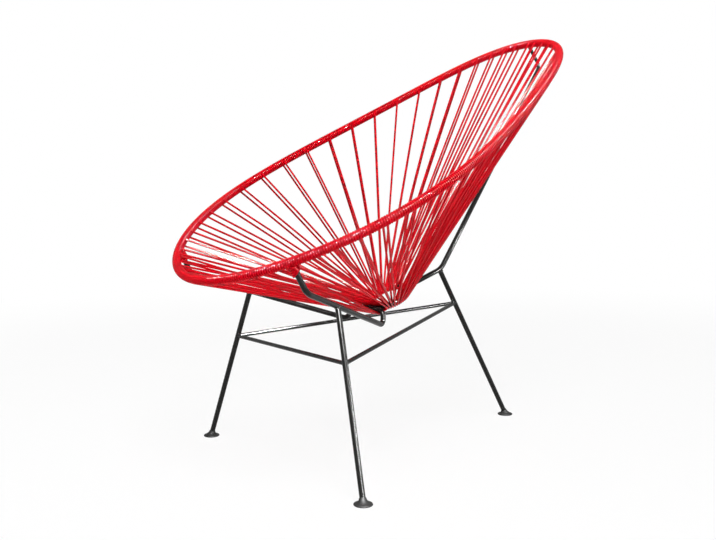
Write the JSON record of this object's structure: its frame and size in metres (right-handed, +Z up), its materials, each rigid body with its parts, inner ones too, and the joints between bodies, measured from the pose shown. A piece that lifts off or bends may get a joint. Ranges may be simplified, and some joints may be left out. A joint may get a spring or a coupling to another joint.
{
  "type": "acapulco chair",
  "caption": "Low lounge chair for porch and patio: an egg-shaped hoop strung with round plastic cord as a bucket seat, on a welded three-legged rod frame.",
  "frame": {"origin": "on the floor, under the middle of the whole chair's box", "axes": "+X to the sitter's left, +Y to the back, +Z up, the front is towards -Y"},
  "size_m": [0.7, 0.9458, 0.8911],
  "materials": {
    "frame_paint": "glossy near-black paint on steel rod",
    "seat_cord": "glossy red vinyl cord",
    "foot_plastic": "matt dark grey plastic"
  },
  "bodies": {
    "root": {"rim_hoop": "frame_paint", "hub_ring": "frame_paint", "spine": "frame_paint", "top_stay": "frame_paint", "arm_left": "frame_paint", "arm_right": "frame_paint", "arm_wrap_left": "seat_cord", "arm_wrap_right": "seat_cord", "leg_front_left": "frame_paint", "leg_front_right": "frame_paint", "leg_rear": "frame_paint", "brace_front": "frame_paint", "brace_left": "frame_paint", "brace_right": "frame_paint", "foot_front_left": "foot_plastic", "foot_front_right": "foot_plastic", "foot_rear": "foot_plastic", "seat_cord_left_1": "seat_cord", "seat_cord_left_2": "seat_cord", "seat_cord_left_3": "seat_cord", "seat_cord_left_4": "seat_cord", "seat_cord_left_5": "seat_cord", "seat_cord_left_6": "seat_cord", "seat_cord_left_7": "seat_cord", "seat_cord_left_8": "seat_cord", "seat_cord_left_9": "seat_cord", "seat_cord_right_1": "seat_cord", "seat_cord_right_2": "seat_cord", "seat_cord_right_3": "seat_cord", "seat_cord_right_4": "seat_cord", "seat_cord_right_5": "seat_cord", "seat_cord_right_6": "seat_cord", "seat_cord_right_7": "seat_cord", "seat_cord_right_8": "seat_cord", "seat_cord_right_9": "seat_cord"}
  },
  "joints": []
}
